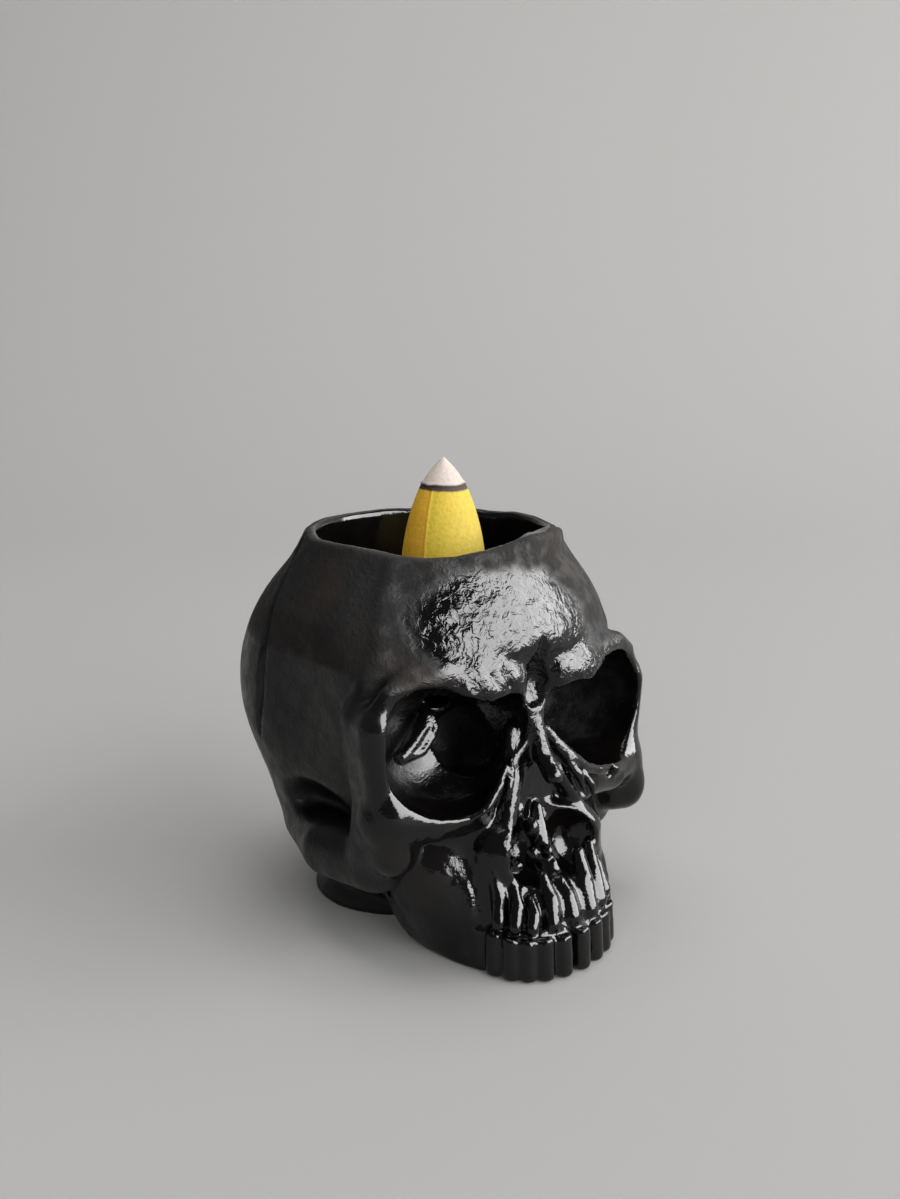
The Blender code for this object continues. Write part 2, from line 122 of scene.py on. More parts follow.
def rodGroup():
    inputs = (("Point", "Vector"), ("Start", "Vector"), ("End", "Vector"), ("Radius", "Float"),
              ("End Radius", "Float"))
    tree, sizes = startGroup("rod", inputs, "Float")
    along = addNode(tree, "VectorMath SUBTRACT", sizes["End"], sizes["Start"])
    point = addNode(tree, "VectorMath SUBTRACT", sizes["Point"], sizes["Start"])
    share = addNode(tree, "Math DIVIDE", addNode(tree, "VectorMath DOT_PRODUCT", point, along),
                    addNode(tree, "VectorMath DOT_PRODUCT", along, along))
    share = addNode(tree, "Math MINIMUM", addNode(tree, "Math MAXIMUM", share, 0.0), 1.0)
    nearest = addNode(tree, "VectorMath SCALE", along, share)
    away = addNode(tree, "VectorMath LENGTH", addNode(tree, "VectorMath SUBTRACT", point, nearest))
    taper = addNode(tree, "Math SUBTRACT", sizes["End Radius"], sizes["Radius"])
    radius = addNode(tree, "Math MULTIPLY_ADD", share, taper, sizes["Radius"])
    addNode(tree, "NodeGroupOutput", addNode(tree, "Math SUBTRACT", away, radius))
    return tree


def blockGroup():
    inputs = (("Point", "Vector"), ("Centre", "Vector"), ("Inner", "Vector"), ("Rounding", "Float"),
              ("Turn", "Vector"))
    tree, sizes = startGroup("block", inputs, "Float")
    folded = addNode(tree, "VectorMath ABSOLUTE", localPoint(tree, sizes))
    past = addNode(tree, "VectorMath SUBTRACT", folded, sizes["Inner"])
    outside = addNode(tree, "VectorMath LENGTH", addNode(tree, "VectorMath MAXIMUM", past, (0.0, 0.0, 0.0)))
    parts = addNode(tree, "SeparateXYZ", past).node.outputs
    deepest = addNode(tree, "Math MAXIMUM", addNode(tree, "Math MAXIMUM", parts[0], parts[1]), parts[2])
    whole = addNode(tree, "Math ADD", outside, addNode(tree, "Math MINIMUM", deepest, 0.0))
    addNode(tree, "NodeGroupOutput", addNode(tree, "Math SUBTRACT", whole, sizes["Rounding"]))
    return tree


shapes = {"ball": ballGroup(), "rod": rodGroup(), "block": blockGroup()}


def shape(clay, kind, paired, sizes):
    settings = {"node_tree": shapes[kind], "Point": clay["sides"] if paired else clay["here"]}
    return addNode(clay["tree"], "GeometryNodeGroup", {**settings, **sizes})


def ball(clay, centre, radii, turn=(0, 0, 0), paired=True):
    angles = [math.radians(angle) for angle in turn]
    return shape(clay, "ball", paired, {"Centre": centre, "Radii": radii, "Turn": angles})


def rod(clay, start, end, radius, endRadius, paired=True):
    return shape(clay, "rod", paired, {"Start": start, "End": end, "Radius": radius, "End Radius": endRadius})


def block(clay, centre, half, rounding, turn=(0, 0, 0), paired=True):
    angles = [math.radians(angle) for angle in turn]
    inner = [size - rounding for size in half]
    sizes = {"Centre": centre, "Inner": inner, "Rounding": rounding, "Turn": angles}
    return shape(clay, "block", paired, sizes)


def chain(clay, points, radii, paired=True):
    whole = None
    for start, end, radius, endRadius in zip(points, points[1:], radii, radii[1:]):
        piece = rod(clay, start, end, radius, endRadius, paired)
        whole = piece if whole is None else addNode(clay["tree"], "Math MINIMUM", whole, piece)
    return whole


def merge(clay, first, second, blend):
    return addNode(clay["tree"], "Math SMOOTH_MIN", first, second, blend)


def add(clay, mass, blend):
    started = clay["surface"] is not None
    clay["surface"] = merge(clay, clay["surface"], mass, blend) if started else mass


def carve(clay, hollow, blend):
    turned = addNode(clay["tree"], "Math MULTIPLY", hollow, -1.0)
    clay["surface"] = addNode(clay["tree"], "Math SMOOTH_MAX", clay["surface"], turned, blend)


def within(clay, region, fade):
    # 1 inside a region, falling to 0 over the fade
    return addNode(clay["tree"], "MapRange SMOOTHSTEP", region, fade, 0.0)


def modelCranium(clay):
    rim = skull["rimHeight"]
    wallRadius = skull["bowlRadius"] + skull["rimWall"]
    reach, flare = 13, 6.3
    add(clay, ball(clay, (0, 3, 43), skull["half"], paired=False), blends["soft"])
    add(clay, rod(clay, (0, 0, rim - reach), (0, 0, rim + reach), wallRadius + flare, wallRadius - flare,
                  paired=False), blends["soft"])
    add(clay, ball(clay, (0, -9, 52), (31, 21, 22), paired=False), blends["soft"])
    add(clay, ball(clay, (0, 4, 24), (28, 30, 26), paired=False), blends["wide"])
    add(clay, ball(clay, (0, 6, 0), (20.8, 18, 10), paired=False), blends["firm"])
    # flat front, from the frown down, for the face to stand on
    carve(clay, block(clay, (0, -45, 32), (30, 15.4, 25), 6, paired=False), blends["soft"])


def modelFace(clay):
    # between the sockets, the muzzle, the jaw's base and the gum; then the hollow temple and the jaw's recess
    add(clay, block(clay, (0, -16, 30), (20, 11.5, 18), 7), blends["soft"])
    add(clay, block(clay, (0, -23.2, 12.5), (14.5, 12.5, 13.5), 6), blends["soft"])
    add(clay, ball(clay, (0, -24.5, 0), (17.5, 18.2, 11)), blends["firm"])
    add(clay, ball(clay, (-0.6, -26, 7.0), (15.6, 16.0, 12.0), paired=False), blends["firm"])
    carve(clay, ball(clay, (49, -4, 42), (18.5, 22, 26)), blends["wide"])
    carve(clay, ball(clay, (32, -2.5, 24), (10.5, 9.5, 5.2), (0, -20, 0)), blends["firm"])


cheek = {"centre": (27.4, -23.8, 28.5), "radius": 4.8, "archRadius": 5.6}


def modelCheeks(clay):
    # the bone outside the socket, the cheekbone under it and the arch that runs back from it
    x, y, z = cheek["centre"]
    r = cheek["radius"]
    arch = cheek["archRadius"]
    add(clay, block(clay, (x + 0.4, y + 3.8, z + 4), (4, 6.5, 15), 3.5, (0, 6, 12)), blends["firm"])
    bone = [(x - 13, y - 3.8, z), (x - 6, y - 2.4, z - 1), (x, y, z), (x + 2.1, y + 1.4, z - 1)]
    add(clay, chain(clay, bone, [r - 1, r - 0.6, r, r - 1]), blends["soft"])
    back = [(x - 1.6, y + 4.8, z - 5), (26, y + 7.8, 17), (27, y + 19.8, 16), (22, y + 33.8, 15)]
    add(clay, chain(clay, back, [arch, arch, arch, arch - 1]), blends["soft"])
    add(clay, ball(clay, (15, -18, 10), (6, 12, 12)), blends["soft"])
    add(clay, ball(clay, (17.6, -19.6, 14), (5.5, 7.5, 9)), blends["soft"])


socket = {"centre": (18.2, -28.0, 40.3), "half": (12.6, 11.5, 10.5), "rim": 2.2, "back": 3.2, "sweep": 2.4}


def modelSocketRim(clay):
    # a ring of bone, thick above, thin below and outside
    x, y, z = socket["centre"]
    wide, deep, tall = socket["half"]
    points = []
    radii = []
    steps = 12
    for step in range(steps + 1):
        angle = 2 * math.pi * step / steps
        outward = math.cos(angle)
        upward = math.sin(angle)
        radius = socket["rim"] + (1.2 if upward > 0 else 0.72) * upward - 0.7 * max(outward, 0)
        points.append((x + (wide + 0.25 * radius) * outward, y + socket["back"] + socket["sweep"] * outward,
                       z + (tall + 0.5 * radius) * upward))
        radii.append(radius)
    add(clay, chain(clay, points, radii), blends["soft"])


def modelBrows(clay):
    # plump brow that comes forward down to its edge over the socket, with a groove above it
    add(clay, ball(clay, (10.6, -25.4, 49.8), (9.8, 6.4, 7.4), (0, 6, 8)), blends["crisp"])
    add(clay, ball(clay, (5.6, -26.4, 50.2), (3.8, 5.2, 5.4)), blends["crisp"])
    groove = [(24, -26.4, 57.0), (20.5, -27.8, 58.2), (17.5, -29.0, 58.6), (14.4, -30.6, 57.4)]
    carve(clay, chain(clay, groove, [0.6, 1.3, 1.3, 0.8]), blends["crisp"])
    edge = [(31.0, -23.0, 46.5), (29.0, -24.0, 50.4), (24.8, -25.2, 52.8), (19.6, -26.4, 52.8)]
    add(clay, chain(clay, edge, [1.0, 1.3, 1.5, 1.6]), blends["firm"])
    # cleft between the brows, and the frown furrows of the near one
    cleft = [(-0.2, -31.4, 58), (-0.4, -31.0, 54.6), (-0.5, -30.2, 51.6), (-0.4, -29.4, 49.0),
             (-0.2, -29.6, 46.8)]
    carve(clay, chain(clay, cleft, [0.5, 1.5, 2.4, 2.9, 2.2], paired=False), blends["sharp"])
    furrows = ([(-14.8, -30.2, 57.2), (-12.9, -31.2, 54.2), (-10.9, -31.9, 51.0)],
               [(-10.5, -31.0, 56.2), (-8.8, -31.8, 53.0), (-7.9, -31.9, 49.8)])
    for furrow in furrows:
        carve(clay, chain(clay, furrow, [0.5, 1.0, 0.4], paired=False), blends["sharp"])


def hollowEyes(clay):
    # the far socket runs deeper, so that it stays dark; both have a well at the back
    wide, deep, tall = socket["half"]
    x, y, z = socket["centre"]
    z -= 0.8
    eye = merge(clay, ball(clay, (-x, y, z), (wide, deep, tall), (0, 4, -6), paired=False),
                ball(clay, (x, y, z), (wide, 2 * deep, tall), (0, -4, 6), paired=False), 0.0)
    eye = merge(clay, eye, ball(clay, (22.4, -27.5, 43.2), (8.2, deep, 8.0)), blends["firm"])
    eye = merge(clay, eye, ball(clay, (8.2, -27.8, 42.6), (6.3, 8.6, 6.8)), blends["firm"])
    eye = merge(clay, eye, ball(clay, (8.8, -18.0, 37.6), (5.2, 10, 6.8)), blends["sharp"])
    carve(clay, eye, blends["crisp"])
    # curved fold inside the near socket, split along its length
    fold = [(-16.6, -19.4, 45.6), (-17.8, -20.4, 42.4), (-20.6, -21.0, 40.0), (-24.0, -21.4, 38.8)]
    add(clay, chain(clay, fold, [1.3, 2.2, 2.3, 1.5], paired=False), blends["crisp"])
    split = [(x - 0.5, y - 2.2, z + 0.2) for x, y, z in fold]
    carve(clay, chain(clay, split, [0.4, 0.8, 0.9, 0.5], paired=False), blends["sharp"])


def modelNose(clay):
    # narrow ridge, steep sides, and the margin that runs down beside the opening
    ridge = [(0, -25.6, 47.4), (0, -28.6, 43.4), (0, -29.8, 40), (0, -31.1, 36.3), (0, -34.0, 33.0)]
    add(clay, chain(clay, ridge, [1.2, 1.3, 1.5, 1.7, 1.8]), blends["crisp"])
    margin = [(3.4, -26.4, 40), (4.4, -27.4, 36.6), (5.6, -29.4, 31.8), (7.8, -30.8, 27), (9.6, -31.8, 21.5),
              (8.8, -32.8, 16)]
    add(clay, chain(clay, margin, [1.5, 1.8, 1.8, 1.7, 1.6, 1.4]), blends["crisp"])


def hollowNose(clay):
    # upside-down heart: two lobes under a broad peak, parted by the lumpy septum
    hole = merge(clay, ball(clay, (-5.6, -36.4, 20.8), (5.4, 8, 6.2), (0, 14, 0), paired=False),
                 ball(clay, (4.4, -37.4, 20.0), (5.4, 8, 6.8), (0, -14, 0), paired=False), blends["crisp"])
    hole = merge(clay, hole, ball(clay, (-0.4, -38.4, 26.2), (6.2, 9.4, 6.4), paired=False), blends["firm"])
    carve(clay, hole, blends["sharp"])
    septum = [(-1.4, -36.2, 13.8), (-1.4, -33.8, 17.2), (-0.8, -31.6, 21.4), (0, -30.0, 26.4)]
    add(clay, chain(clay, septum, [1.9, 1.3, 1.6, 0.8], paired=False), blends["crisp"])
    lumps = (((-3.0, -31.6, 23.4), (1.3, 1.6, 1.9)), ((-3.4, -32.6, 18.6), (1.2, 1.4, 1.7)),
             ((-1.8, -34.6, 19.6), (0.9, 1.2, 1.2)), ((-6.6, -31.4, 17.2), (1.5, 1.8, 1.2)))
    for place, radii in lumps:
        add(clay, ball(clay, place, radii, paired=False), blends["sharp"])


def modelSideMarks(clay):
    # the line in front of the temple, and the suture down the side
    temple = [(18.0, -13.6, 71), (22.6, -15.4, 64), (24.8, -17.2, 59), (26.0, -18.8, 55), (28.6, -17.6, 50),
              (30.2, -16.4, 45)]
    add(clay, chain(clay, temple, [0.8, 0.9, 1.1, 1.4, 1.4, 1.2]), blends["soft"])
    suture = [(19.3, 11, 73.4), (23.7, 12.2, 67), (28.1, 11.5, 60), (31.8, 9.6, 51), (32.3, 9.9, 43),
              (31.6, 11.3, 34.6)]
    carve(clay, chain(clay, suture, [0.7, 0.8, 0.8, 0.8, 0.7, 0.4]), blends["sharp"])


def modelCheekLumps(clay):
    # bone that looks melted under the sockets: thin runs beside the nose, plump folds under the far socket
    runs = (([(-6.4, -29.8, 37.0), (-7.4, -30.9, 35.0), (-8.6, -31.8, 32.4), (-9.2, -32.0, 30.2)],
             [0.4, 0.7, 0.8, 0.4]),
            ([(-8.4, -30.6, 36.0), (-10.8, -31.6, 33.0), (-13.4, -31.8, 30.2), (-16.4, -31.0, 28.6)],
             [0.6, 0.8, 0.8, 0.5]),
            ([(2.6, -29.2, 40.2), (4.2, -30.0, 37.4), (6.8, -31.2, 34.2), (10.4, -31.6, 31.4),
              (14.6, -31.2, 29.8)], [0.8, 1.2, 1.4, 1.2, 0.9]),
            ([(5.8, -31.8, 34.0), (7.4, -33.0, 31.2), (8.6, -33.4, 28.0)], [0.7, 0.9, 0.4]),
            ([(9.0, -32.4, 31.0), (10.6, -33.2, 28.6), (11.0, -33.4, 26.4)], [0.6, 0.8, 0.4]),
            ([(14.0, -31.2, 30.2), (19.5, -30.2, 28.4), (24.6, -28.4, 28.2)], [0.8, 1.3, 1.0]))
    for points, radii in runs:
        add(clay, chain(clay, points, radii, paired=False), blends["sharp"])
    add(clay, ball(clay, (29.2, -24.2, 21.8), (3.6, 4.6, 5.4), paired=False), blends["firm"])
    # small hole in the bone under each socket
    carve(clay, ball(clay, (17.8, -31.6, 29.2), (1.1, 1.8, 1.1)), blends["sharp"])


# the arch goes round the outer faces of the teeth, and the turns say which way each tooth faces
teeth = {
    "arch": ((-16.2, -31.8), (-15.7, -35.8), (-14.4, -39.1), (-12.3, -41.5), (-9.4, -43.3), (-5.5, -44.4),
             (-1.0, -44.6), (3.3, -43.8), (7.0, -42.4), (10.3, -40.2), (12.9, -37.2), (14.7, -33.6)),
    "turns": (-76, -60, -49, -37, -24, -9, 2, 12, 26, 40, 56, 70),
    "height": 8.6,
    "radius": 1.75,
    "gumGroove": 0.65,
}


def modelTeeth(clay):
    # short pegs side by side, a groove over them, and the roots that show through the gum
    radius = teeth["radius"]
    groove = teeth["gumGroove"]
    gum = []
    for (x, y), turn in zip(teeth["arch"], teeth["turns"]):
        outX, outY = math.sin(math.radians(turn)), -math.cos(math.radians(turn))
        footX, footY = x - radius * outX, y - radius * outY
        add(clay, rod(clay, (footX, footY, 1.2), (0.985 * footX, footY + 0.4, teeth["height"] - 1.4), radius,
                      radius, paired=False), blends["sharp"])
        gum.append((0.985 * x - 0.9 * outX, y - 0.9 * outY + 0.6, teeth["height"] - 0.2))
    depths = [0.3] + [groove] * (len(gum) - 4) + [0.3]
    carve(clay, chain(clay, gum[1:-1], depths, paired=False), blends["sharp"])
    roots = (([(-15.8, -28.8, 15.6), (-15.7, -29.6, 12.6), (-15.9, -30.4, 9.4)], [0.4, 0.9, 0.7]),
             ([(-13.2, -32.6, 18.4), (-12.9, -34.3, 14.0), (-14.2, -35.6, 10.0)], [0.6, 1.3, 1.2]),
             ([(-10.4, -35.4, 15.6), (-11.3, -37.2, 12.6), (-12.6, -38.2, 9.9)], [0.7, 1.2, 1.2]),
             ([(-8.6, -37.6, 13.6), (-9.4, -39.4, 11.4), (-10.4, -40.2, 9.7)], [0.8, 1.2, 1.2]),
             ([(-5.0, -36.6, 16.4), (-5.2, -39.2, 13.0), (-6.4, -41.0, 9.6)], [1.1, 1.5, 1.4]),
             ([(-1.6, -37.6, 15.0), (-1.4, -39.6, 12.6), (-2.0, -41.4, 9.6)], [1.0, 1.4, 1.5]),
             ([(4.4, -36.2, 18.0), (3.4, -38.6, 14.0), (2.6, -41.0, 9.6)], [1.2, 1.8, 1.7]),
             ([(8.6, -34.6, 18.0), (7.2, -37.4, 14.0), (6.4, -39.8, 9.6)], [0.9, 1.5, 1.4]),
             ([(10.2, -33.6, 17.0), (10.0, -35.6, 13.4), (9.8, -37.8, 9.6)], [0.7, 1.3, 1.2]),
             ([(13.2, -31.6, 17.0), (12.9, -33.2, 13.4), (12.8, -34.8, 9.6)], [0.6, 1.2, 1.1]))
    for points, radii in roots:
        add(clay, chain(clay, points, radii, paired=False), blends["crisp"])


def modelFoot(clay):
    # groove that leaves the skull on a narrower foot
    groove = []
    for degrees in (40, 15, -12, -38):
        turn = math.radians(degrees)
        groove.append((23.5 * math.cos(turn), 1 + 22.5 * math.sin(turn), 8.5))
    carve(clay, chain(clay, groove, [1.7] * len(groove)), blends["crisp"])


def cutBowl(clay, sizes):
    # a round-cornered drum, and an uneven top that leaves the thin rim, thicker and higher over the brow
    tree = clay["tree"]
    corner = skull["bowlCorner"]
    parts = addNode(tree, "SeparateXYZ", clay["here"]).node.outputs
    flat = addNode(tree, "CombineXYZ", parts[0], parts[1], 0.0)
    floor = addNode(tree, "Math SUBTRACT", sizes["Rim Height"], sizes["Bowl Depth"])
    below = addNode(tree, "Math SUBTRACT", sizes["Rim Height"], parts[2])
    draft = addNode(tree, "Math MULTIPLY", below, skull["bowlDraft"] / skull["bowlDepth"])
    wide = addNode(tree, "Math SUBTRACT", addNode(tree, "Math SUBTRACT", sizes["Bowl Radius"], draft), corner)
    out = addNode(tree, "Math SUBTRACT", addNode(tree, "VectorMath LENGTH", flat), wide)
    down = addNode(tree, "Math SUBTRACT", addNode(tree, "Math ADD", floor, corner), parts[2])
    past = addNode(tree, "CombineXYZ", addNode(tree, "Math MAXIMUM", out, 0.0),
                   addNode(tree, "Math MAXIMUM", down, 0.0), 0.0)
    inside = addNode(tree, "Math MINIMUM", addNode(tree, "Math MAXIMUM", out, down), 0.0)
    drum = addNode(tree, "Math ADD", addNode(tree, "VectorMath LENGTH", past), inside)
    carve(clay, addNode(tree, "Math SUBTRACT", drum, corner), skull["rimRound"])
    add(clay, ball(clay, (9.4, -20.0, 71), (10, 2.4, 5.0), (0, 0, 25), paired=False), blends["crisp"])
    wave = addNode(tree, "TexNoise", {"noise_dimensions": "4D", "Vector": flat, "Scale": skull["waveScale"],
                                      "Detail": 1.0, "W": sizes["Seed"]})
    lift = addNode(tree, "Math MULTIPLY", addNode(tree, "Math SUBTRACT", wave, 0.5), skull["rimWave"])
    lift = addNode(tree, "Math SUBTRACT", lift, skull["waveSink"])
    lift = addNode(tree, "Math ADD", sizes["Rim Height"], lift)
    top = addNode(tree, "Math SUBTRACT", lift, parts[2])
    dip = within(clay, ball(clay, (-15, -18, 73), (4, 4, 5), paired=False), 10.0)
    top = addNode(tree, "Math MULTIPLY_ADD", dip, skull["rimDip"], top)
    brow = within(clay, ball(clay, (9, -21, 73), (5, 4, 5), (0, 0, 25), paired=False), 11.0)
    top = addNode(tree, "Math MULTIPLY_ADD", brow, skull["rimBrow"], top)
    carve(clay, top, skull["rimRound"])
    carve(clay, parts[2], skull["baseRound"])


smokeWay = {"holeRadius": 2.2, "ductRadius": 2.0, "drop": 4.0, "ductEnd": (15.2, -20, 46.6)}


def cutSmokeWay(clay):
    # the hole under the cone, and a duct from its foot to the roof of each socket
    x, y = cone["place"]
    floor = skull["rimHeight"] - skull["bowlDepth"]
    fork = (x, y, floor - smokeWay["drop"])
    duct = smokeWay["ductRadius"]
    carve(clay, rod(clay, (x, y, floor + 3), fork, smokeWay["holeRadius"], duct, paired=False),
          blends["sharp"])
    endX, endY, endZ = smokeWay["ductEnd"]
    for side in (-1, 1):
        carve(clay, rod(clay, fork, (side * endX, endY, endZ), duct, duct, paired=False), blends["sharp"])


def skullTree():
    tree = bpy.data.node_groups.new("skull clay", "GeometryNodeTree")
    tree.interface.new_socket("Geometry", in_out="OUTPUT", socket_type="NodeSocketGeometry")
    for name in ("Cell", "Rim Height", "Bowl Radius", "Bowl Depth", "Pebble Height", "Pebble Size", "Seed"):
        tree.interface.new_socket(name, in_out="INPUT", socket_type="NodeSocketFloat")
    tree.interface.new_socket("Finish", in_out="INPUT", socket_type="NodeSocketMaterial")
    sizes = addNode(tree, "NodeGroupInput").node.outputs
    here = addNode(tree, "VectorMath SCALE", addNode(tree, "GeometryNodeInputPosition"), 1 / mm)
    parts = addNode(tree, "SeparateXYZ", here).node.outputs
    # both sides share one half; the root of x squared keeps the middle round, and the face leans a little
    across = addNode(tree, "Math SQRT", addNode(tree, "Math MULTIPLY_ADD", parts[0], parts[0], 0.2))
    leaned = addNode(tree, "Math MULTIPLY_ADD", parts[0], skull["lean"], parts[2])
    sides = addNode(tree, "CombineXYZ", across, parts[1], leaned)
    clay = {"tree": tree, "here": here, "sides": sides, "surface": None}
    for step in (modelCranium, modelFace, modelCheeks, modelSocketRim, modelBrows, hollowEyes, modelNose,
                 hollowNose, modelSideMarks, modelCheekLumps, modelTeeth, modelFoot):
        step(clay)
    cutBowl(clay, sizes)
    cutSmokeWay(clay)
    surface = clay["surface"]
    low, high = skull["boxLow"], skull["boxHigh"]
    settings = {"Density": addNode(tree, "Math MULTIPLY", surface, -1.0), "Background": -1.0,
                "Min": [value * mm for value in low], "Max": [value * mm for value in high]}
    for name, start, end in zip("XYZ", low, high):
        settings["Resolution " + name] = addNode(tree, "Math DIVIDE", end - start, sizes["Cell"])
    volume = addNode(tree, "GeometryNodeVolumeCube", settings)
    mesh = addNode(tree, "GeometryNodeVolumeToMesh", {"Volume": volume, "Threshold": 0.0})
    normal = addNode(tree, "GeometryNodeInputNormal")
    settle = addNode(tree, "VectorMath SCALE", normal, addNode(tree, "Math MULTIPLY", surface, -mm))
    for again in range(2):  # slides the points onto the true surface, so that the gloss runs smooth
        mesh = addNode(tree, "GeometryNodeSetPosition", {"Geometry": mesh, "Offset": settle})
    # low pebbles over all of it, higher on the face and highest on the forehead
    grain = addNode(tree, "Math DIVIDE", 1.0, sizes["Pebble Size"])
    pebbles = addNode(tree, "TexNoise", {"noise_dimensions": "4D", "Vector": here, "Scale": grain,
                                         "Detail": 2.0, "W": sizes["Seed"], "Distortion": 0.6})
    forehead = within(clay, ball(clay, (0, -28, 60), (24, 14, 12), paired=False), 6.0)
    face = within(clay, ball(clay, (0, -36, 30), (30, 16, 26), paired=False), 6.0)
    share = addNode(tree, "Math ADD", addNode(tree, "Math MULTIPLY_ADD", face, 0.5, forehead), 0.25)
    swell = addNode(tree, "Math MULTIPLY", addNode(tree, "Math SUBTRACT", pebbles, 0.5),
                    addNode(tree, "Math MULTIPLY", share, mm))
    swell = addNode(tree, "Math MULTIPLY", swell, sizes["Pebble Height"])
    raised = addNode(tree, "VectorMath SCALE", normal, swell)
    mesh = addNode(tree, "GeometryNodeSetPosition", {"Geometry": mesh, "Offset": raised})
    mesh = addNode(tree, "GeometryNodeSetShadeSmooth", {"Geometry": mesh})
    mesh = addNode(tree, "GeometryNodeRealizeInstances", {"Geometry": mesh})
    mesh = addNode(tree, "GeometryNodeSetMaterial", {"Geometry": mesh, "Material": sizes["Finish"]})
    addNode(tree, "NodeGroupOutput", mesh)
    return tree


def bakeTree(name, tree, values):
    piece = bpy.data.objects.new(name, bpy.data.meshes.new(name))
    bpy.context.collection.objects.link(piece)
    modifier = piece.modifiers.new("nodes", "NODES")
    modifier.node_group = tree
    for item in tree.interface.items_tree:
        if item.in_out == "INPUT":
            modifier[item.identifier] = values[item.name]
    bpy.context.view_layer.update()
    baked = bpy.data.meshes.new_from_object(piece.evaluated_get(bpy.context.evaluated_depsgraph_get()))
    piece.modifiers.clear()
    piece.data = baked
    baked.name = name
    return piece


def newMaterial(name):
    made = bpy.data.materials.new(name)
    made.use_nodes = True
    return made, made.node_tree, made.node_tree.nodes["Principled BSDF"].inputs


# lengths in metres, as the material reads them; a pair is where a mask starts and where it ends
lacquer = {
    "deep": "#050506",
    "worn": "#110E0D",
    "rubbed": "#211A14",
    "ior": 1.41,
    "glossRoughness": 0.10,
    "satinRoughness": 0.42,
    "rubbedShare": 2.6,
    "cloudScale": 70.0,
    "speckScale": 320.0,
    "wrinkleScale": 620.0,
    "wrinkleHeight": 0.00020,
    "grainScale": 2200.0,
    "grainHeight": 0.000016,
    "bowlEdge": (0.0228, 0.0222),
    "bowlRise": (0.050, 0.054),
    "satinEdge": (-0.011, -0.004),
    "shineCentre": (-0.0045, 0.0, 0.058),
    "shineReach": (60.0, 0.0, 88.0),
    "shineEdge": (1.22, 1.55),
    "shineRise": (0.051, 0.055),
    "browCentre": (0.0, -0.032, 0.060),
    "browEdge": (0.018, 0.032),
}


